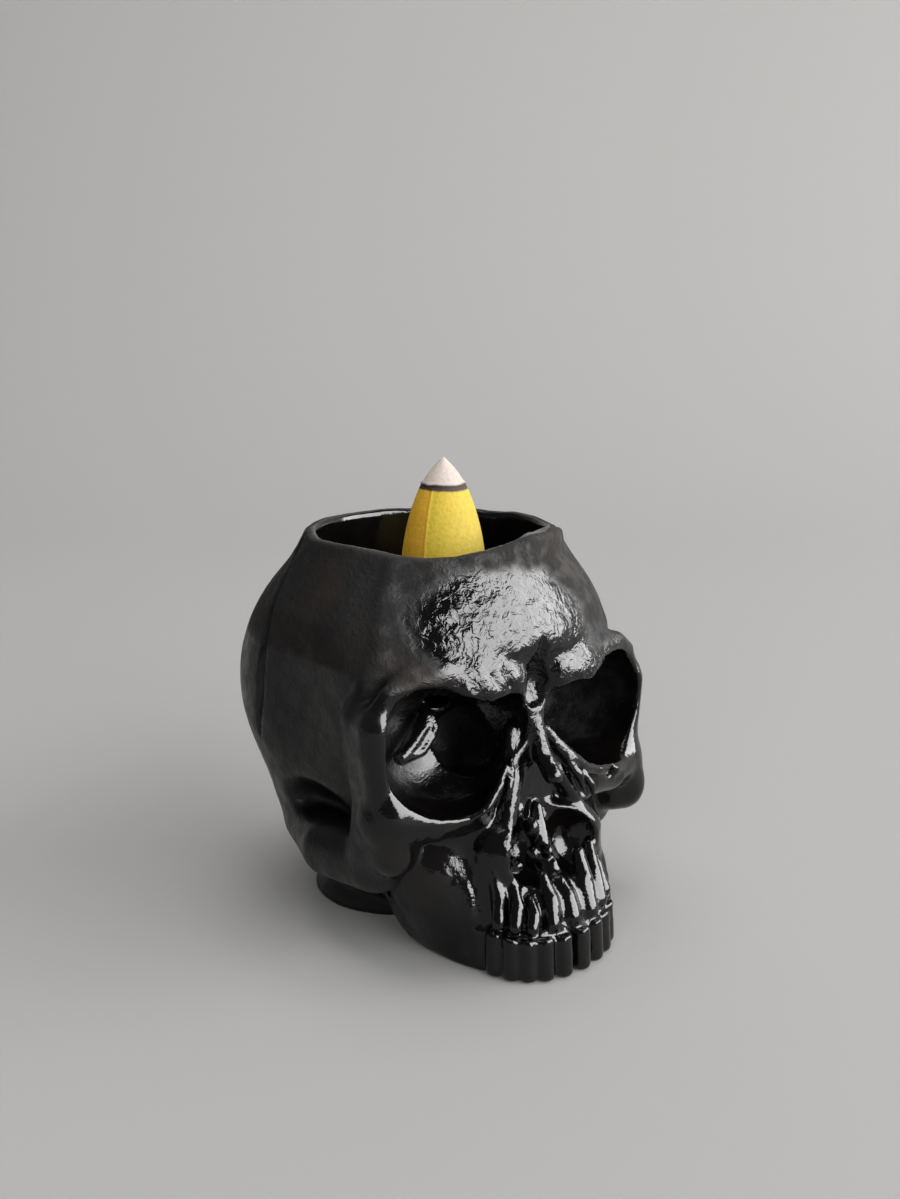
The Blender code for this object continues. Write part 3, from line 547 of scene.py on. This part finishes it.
def blackLacquer():
    # black enamel brushed thick over cast resin: deep gloss on the face and in the bowl, worn satin elsewhere
    made, tree, inputs = newMaterial("black enamel on cast resin, brushed")
    place = addNode(tree, "TexCoord").node.outputs["Object"]
    parts = addNode(tree, "SeparateXYZ", place).node.outputs
    cloud = addNode(tree, "TexNoise", {"Vector": place, "Scale": lacquer["cloudScale"], "Detail": 3.0})
    across = addNode(tree, "VectorMath LENGTH", addNode(tree, "CombineXYZ", parts[0], parts[1], 0.0))
    bowl = addNode(tree, "Math MULTIPLY", addNode(tree, "MapRange SMOOTHSTEP", across, *lacquer["bowlEdge"]),
                   addNode(tree, "MapRange SMOOTHSTEP", parts[2], *lacquer["bowlRise"]))
    notBowl = addNode(tree, "Math SUBTRACT", 1.0, bowl)
    # the sides and the back are satin, with a ragged edge towards the face
    out = addNode(tree, "Math MULTIPLY_ADD", addNode(tree, "Math ABSOLUTE", parts[0]), 0.35, parts[1])
    edge = addNode(tree, "Math MULTIPLY_ADD", cloud, 0.010, out)
    satin = addNode(tree, "MapRange SMOOTHSTEP", edge, *lacquer["satinEdge"])
    satin = addNode(tree, "Math MULTIPLY", satin, notBowl)
    # the forehead is rubbed dull above and beyond its middle
    reach = addNode(tree, "VectorMath SUBTRACT", place, lacquer["shineCentre"])
    reach = addNode(tree, "VectorMath MULTIPLY", reach, lacquer["shineReach"])
    reach = addNode(tree, "VectorMath LENGTH", addNode(tree, "VectorMath MAXIMUM", reach, (-9.0, 0.0, 0.0)))
    reach = addNode(tree, "Math MULTIPLY_ADD", cloud, 0.7, reach)
    rubbed = addNode(tree, "Math MULTIPLY", addNode(tree, "MapRange SMOOTHSTEP", reach, *lacquer["shineEdge"]),
                     addNode(tree, "MapRange SMOOTHSTEP", parts[2], *lacquer["shineRise"]))
    rubbed = addNode(tree, "Math MULTIPLY", rubbed, notBowl)
    rubbedDull = addNode(tree, "Math MULTIPLY", rubbed, lacquer["rubbedShare"])
    dull = addNode(tree, "Math MAXIMUM", satin, rubbedDull)
    speck = addNode(tree, "TexNoise", {"Vector": place, "Scale": lacquer["speckScale"], "Detail": 2.0})
    rough = addNode(tree, "MapRange", {"Value": dull, "clamp": False, "To Min": lacquer["glossRoughness"],
                                       "To Max": lacquer["satinRoughness"]})
    rough = addNode(tree, "Math MULTIPLY", rough,
                    addNode(tree, "MapRange SMOOTHSTEP", speck, 0.3, 0.7, 0.8, 1.25))
    tree.links.new(rough, inputs["Roughness"])
    colour = addNode(tree, "ValToRGB", {"Fac": addNode(tree, "Math MULTIPLY_ADD", rubbed, 0.3, cloud)})
    ramp = colour.node.color_ramp
    ramp.elements[0].position = 0.35
    ramp.elements[0].color = linearColour(lacquer["deep"])
    ramp.elements[1].position = 0.75
    ramp.elements[1].color = linearColour(lacquer["worn"])
    ramp.elements.new(0.95).color = linearColour(lacquer["rubbed"])
    tree.links.new(colour, inputs["Base Color"])
    inputs["IOR"].default_value = lacquer["ior"]
    # brush wrinkles about 1.5 mm apart, deepest on the forehead, over a grain of 0.4 mm
    brow = addNode(tree, "VectorMath DISTANCE", place, lacquer["browCentre"])
    depth = addNode(tree, "MapRange SMOOTHSTEP", brow, *lacquer["browEdge"], 1.0, 0.25)
    depth = addNode(tree, "Math MULTIPLY_ADD", dull, 0.35, depth)
    depth = addNode(tree, "Math MULTIPLY", depth,
                    addNode(tree, "MapRange SMOOTHSTEP", bowl, 0.0, 1.0, 1.0, 0.15))
    wrinkle = addNode(tree, "TexNoise", {"Vector": place, "Scale": lacquer["wrinkleScale"], "Detail": 2.5,
                                         "Distortion": 1.6})
    wrinkle = addNode(tree, "Math MULTIPLY", wrinkle, depth)
    grain = addNode(tree, "TexNoise", {"Vector": place, "Scale": lacquer["grainScale"], "Detail": 2.0})
    bump = addNode(tree, "Bump", {"Strength": 1.0, "Distance": lacquer["wrinkleHeight"], "Height": wrinkle})
    bump = addNode(tree, "Bump", {"Strength": 1.0, "Distance": lacquer["grainHeight"], "Height": grain,
                                  "Normal": bump})
    tree.links.new(bump, inputs["Normal"])
    return made


# millimetres, with the seam's turn in degrees round the cone from +X
cone = {
    "place": (1.8, -1.5),
    "radius": 8.4,
    "fullHeight": 33.3,
    "swell": 2.9,
    "bodyHeight": 26.3,
    "ashRadius": 3.8,
    "ashSwell": 0.3,
    "ashHeight": 4.6,
    "charStep": 0.5,
    "charEdge": 0.5,
    "charRise": 0.15,
    "boreRadius": 1.6,
    "boreDepth": 14.0,
    "boreChamfer": 0.4,
    "seamTurn": 203.0,
    "seamHeight": 0.16,
    "seamWidth": 0.22,
    "seat": 0.3,
    "steps": 60,
    "ashSteps": 12,
    "roundSteps": 256,
}
# metres, with the turn of the painted shade side in degrees from +X
incense = {
    "yellow": "#EACB34",
    "char": "#3A2620",
    "cinder": "#3A2A25",
    "ash": "#DFD0C6",
    # turn and tint of the painted shade on the cone's side away from the key lamp
    "shadeSideTurn": 170.0,
    "paintedShadeTint": (1.05, 0.80, 0.72, 1.0),
    "powderScale": 1500.0,
    "powderHeight": 0.00012,
    "burnScale": 380.0,
    "burnRagged": 0.0008,
}


def coneBase():
    return skull["rimHeight"] - skull["bowlDepth"] + cone["seat"]


def pressedIncense():
    # powdered wood pressed in a mould: dry and matt, burnt to a char ring and an ash tip
    made, tree, inputs = newMaterial("pressed wood powder incense, partly burnt")
    place = addNode(tree, "TexCoord").node.outputs["Object"]
    parts = addNode(tree, "SeparateXYZ", place).node.outputs
    top = (coneBase() + cone["bodyHeight"]) * mm
    ragged = addNode(tree, "TexNoise", {"Vector": place, "Scale": incense["burnScale"], "Detail": 2.0})
    height = addNode(tree, "Math MULTIPLY_ADD", ragged, incense["burnRagged"], parts[2])
    level = addNode(tree, "MapRange", {"Value": height, "From Min": top - 4 * mm, "From Max": top + 4 * mm})
    colour = addNode(tree, "ValToRGB", {"Fac": level})
    ramp = colour.node.color_ramp
    ramp.elements[0].position = 0.0
    ramp.elements[0].color = linearColour(incense["yellow"])
    ramp.elements[1].position = 0.60
    ramp.elements[1].color = linearColour(incense["ash"])
    for spot, name in ((0.42, "yellow"), (0.46, "char"), (0.56, "cinder")):
        ramp.elements.new(spot).color = linearColour(incense[name])
    # grains of powder about 0.7 mm across
    powder = addNode(tree, "TexNoise", {"Vector": place, "Scale": incense["powderScale"], "Detail": 3.0})
    shade = addNode(tree, "MapRange", {"Value": powder, "From Min": 0.3, "From Max": 0.75,
                                       "To Min": 0.86, "To Max": 1.08})
    mixed = addNode(tree, "VectorMath SCALE", colour, shade)
    # painted shade: the unburnt body is darker and browner on the side turned away from the key lamp, left of
    # the mould seam
    offset = addNode(tree, "VectorMath SUBTRACT", place, [value * mm for value in cone["place"]] + [0.0])
    offset = addNode(tree, "VectorMath MULTIPLY", offset, (1.0, 1.0, 0.0))
    offset = addNode(tree, "VectorMath NORMALIZE", offset)
    turn = math.radians(incense["shadeSideTurn"])
    facing = addNode(tree, "VectorMath DOT_PRODUCT", offset, (math.cos(turn), math.sin(turn), 0.0))
    paintedShadeSide = addNode(tree, "Math MULTIPLY", addNode(tree, "MapRange SMOOTHSTEP", facing, 0.80, 0.86),
                    addNode(tree, "MapRange SMOOTHSTEP", level, 0.48, 0.42))
    # painted shade: the ramp darkens and browns the side away from the key lamp
    shadeTint = addNode(tree, "ValToRGB", paintedShadeSide)
    shadeTint.node.color_ramp.elements[0].color = (1.0, 1.0, 1.0, 1.0)
    shadeTint.node.color_ramp.elements[1].color = incense["paintedShadeTint"]
    tree.links.new(addNode(tree, "VectorMath MULTIPLY", mixed, shadeTint), inputs["Base Color"])
    inputs["Roughness"].default_value = 0.85
    bump = addNode(tree, "Bump", {"Strength": 0.8, "Distance": incense["powderHeight"], "Height": powder})
    tree.links.new(bump, inputs["Normal"])
    return made


def makeSkull(finish):
    values = {"Cell": skull["cell"], "Rim Height": skull["rimHeight"], "Bowl Radius": skull["bowlRadius"],
              "Bowl Depth": skull["bowlDepth"], "Pebble Height": skull["pebbleHeight"],
              "Pebble Size": skull["pebbleSize"], "Seed": float(skull["seed"]), "Finish": finish}
    piece = bakeTree("skull_cast", skullTree(), values)
    print("skull:", len(piece.data.polygons), "faces")
    return piece


def coneProfile():
    # radius and height, from the top of the bore, round the foot and up to the tip of the ash
    base = coneBase()
    bore = cone["boreRadius"]
    chamfer = cone["boreChamfer"]
    profile = [(0.0, base + cone["boreDepth"]), (bore, base + cone["boreDepth"] - bore),
               (bore, base + chamfer), (bore + chamfer, base)]
    for step in range(cone["steps"] + 1):
        height = cone["bodyHeight"] * step / cone["steps"]
        profile.append((cone["radius"] * (1 - (height / cone["fullHeight"]) ** cone["swell"]), base + height))
    profile.append((cone["ashRadius"] + cone["charEdge"], base + cone["bodyHeight"] + cone["charRise"]))
    ashBase = base + cone["bodyHeight"] + cone["charStep"]
    for step in range(cone["ashSteps"]):
        share = step / cone["ashSteps"]
        radius = cone["ashRadius"] * (1 - share) + cone["ashSwell"] * math.sin(math.pi * share)
        profile.append((radius, ashBase + cone["ashHeight"] * share))
    return profile + [(0.0, ashBase + cone["ashHeight"])]


def raiseSeam(made):
    # the line where the two halves of the mould met
    x, y = [value * mm for value in cone["place"]]
    innerRadius = 2.5 * mm  # wider than the bore, so that only the outer face is raised
    end = (coneBase() + cone["bodyHeight"] - 0.5) * mm
    turn = math.radians(cone["seamTurn"])
    seam = Vector((math.cos(turn), math.sin(turn), 0))
    for vertex in made.verts:
        away = Vector((vertex.co.x - x, vertex.co.y - y, 0))
        onBody = away.length > innerRadius and vertex.co.z < end
        if onBody and away.dot(seam) > 0:
            off = math.sin(math.atan2(away.y, away.x) - turn) * away.length / mm
            height = cone["seamHeight"] * mm * math.exp(-(off / cone["seamWidth"]) ** 2)
            vertex.co += away.normalized() * height


def makeCone(finish):
    x, y = [value * mm for value in cone["place"]]
    made = bmesh.new()
    line = [made.verts.new((x + radius * mm, y, height * mm)) for radius, height in coneProfile()]
    edges = [made.edges.new(pair) for pair in zip(line, line[1:])]
    bmesh.ops.spin(made, geom=line + edges, cent=(x, y, 0), axis=(0, 0, 1), angle=2 * math.pi,
                   steps=cone["roundSteps"])
    bmesh.ops.remove_doubles(made, verts=made.verts, dist=1e-6)
    bmesh.ops.recalc_face_normals(made, faces=made.faces)
    raiseSeam(made)
    mesh = bpy.data.meshes.new("incense_cone_burnt")
    made.to_mesh(mesh)
    made.free()
    mesh.shade_smooth()
    mesh.materials.append(finish)
    piece = bpy.data.objects.new("incense_cone_burnt", mesh)
    bpy.context.collection.objects.link(piece)
    print("cone:", len(mesh.polygons), "faces")
    return piece


# metres, degrees and watts
studio = {
    "camera": (-0.15227, -0.18704, 0.11841),
    "turn": 40.0,
    "tilt": 13.9,
    "lens": 39.03,
    "sweep": 2.4,
    "sweepFloor": 0.35,
    "sweepCurve": 0.4,
    "floorColour": "#B6B5B3",
    "skyColour": "#F4F6FA",
    "skyStrength": 0.14,
    "aim": (0, 0, 0.04),
    "keyPlace": (0.672, -1.344, 0.728),
    "keySize": (2.72, 1.312),
    "keyPower": 34.5,
    "shineBehind": 1.03,
    "shinePower": 138.0,
    "sidePlace": (-0.62, -0.5, 0.36),
    "sideSize": (0.5, 0.5),
    "sidePower": 1.6,
    "fillPlace": (0.0, 0.15, 1.1),
    "fillSize": (0.7, 0.7),
    "fillPower": 3.9,
}


def makeSweep():
    turn = math.radians(studio["turn"])
    forward = Vector((math.sin(turn), math.cos(turn), 0))
    across = Vector((math.cos(turn), -math.sin(turn), 0))
    reach, floor, curve = studio["sweep"], studio["sweepFloor"], studio["sweepCurve"]
    line = [(-reach, 0.0), (floor, 0.0)]
    steps = 12
    for step in range(1, steps + 1):
        angle = math.pi / 2 * step / steps
        line.append((floor + curve * math.sin(angle), curve * (1 - math.cos(angle))))
    line.append((floor + curve, reach))
    made = bmesh.new()
    rows = []
    for along, height in line:
        rows.append([made.verts.new(forward * along + across * side + Vector((0, 0, height)))
                     for side in (-2 * reach, 2 * reach)])
    for lower, upper in zip(rows, rows[1:]):
        made.faces.new((lower[0], lower[1], upper[1], upper[0]))
    mesh = bpy.data.meshes.new("paper sweep")
    made.to_mesh(mesh)
    made.free()
    mesh.shade_smooth()
    # matt paper, so that it takes a soft shadow and no shine
    paper, tree, inputs = newMaterial("matt background paper, rolled")
    inputs["Base Color"].default_value = linearColour(studio["floorColour"])
    inputs["Roughness"].default_value = 0.9
    mesh.materials.append(paper)
    sweep = bpy.data.objects.new("paper_sweep", mesh)
    bpy.context.collection.objects.link(sweep)


def addLamp(name, place, size, power, shineOnly=False, softOnly=False):
    # a lamp that is only for shine shows in gloss and lights nothing; one that is only soft does the reverse
    data = bpy.data.lights.new(name, "AREA")
    data.shape = "RECTANGLE"
    data.size, data.size_y = size
    data.energy = power
    lamp = bpy.data.objects.new(name, data)
    bpy.context.collection.objects.link(lamp)
    lamp.location = place
    lamp.rotation_euler = (Vector(studio["aim"]) - Vector(place)).to_track_quat("-Z", "Y").to_euler()
    lamp.visible_diffuse = not shineOnly
    lamp.visible_glossy = not softOnly


def makeStudio():
    makeSweep()
    world = bpy.data.worlds.new("soft grey room")
    bpy.context.scene.world = world
    world.use_nodes = True
    sky = world.node_tree.nodes["Background"].inputs
    sky["Color"].default_value = linearColour(studio["skyColour"])
    sky["Strength"].default_value = studio["skyStrength"]
    addLamp("key softbox", studio["keyPlace"], studio["keySize"], studio["keyPower"])
    behind = [studio["shineBehind"] * value for value in studio["keyPlace"]]
    addLamp("shine card", behind, studio["keySize"], studio["shinePower"], shineOnly=True)
    addLamp("fill softbox", studio["fillPlace"], studio["fillSize"], studio["fillPower"])
    addLamp("side softbox", studio["sidePlace"], studio["sideSize"], studio["sidePower"], softOnly=True)
    data = bpy.data.cameras.new("camera")
    data.sensor_fit = "VERTICAL"
    data.sensor_height = 36.0
    data.lens = studio["lens"]
    data.clip_start = 0.01
    camera = bpy.data.objects.new("camera", data)
    bpy.context.collection.objects.link(camera)
    camera.location = studio["camera"]
    camera.rotation_euler = (math.radians(90 - studio["tilt"]), 0, math.radians(-studio["turn"]))
    bpy.context.scene.camera = camera
    bpy.context.scene.view_settings.view_transform = "Standard"
    print("studio: sweep, lamps and camera are set")


makeStudio()
skullPiece = makeSkull(blackLacquer())
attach(skullPiece, "root")
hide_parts("skull")
conePiece = makeCone(pressedIncense())
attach(conePiece, "root")
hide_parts("incense_cone")
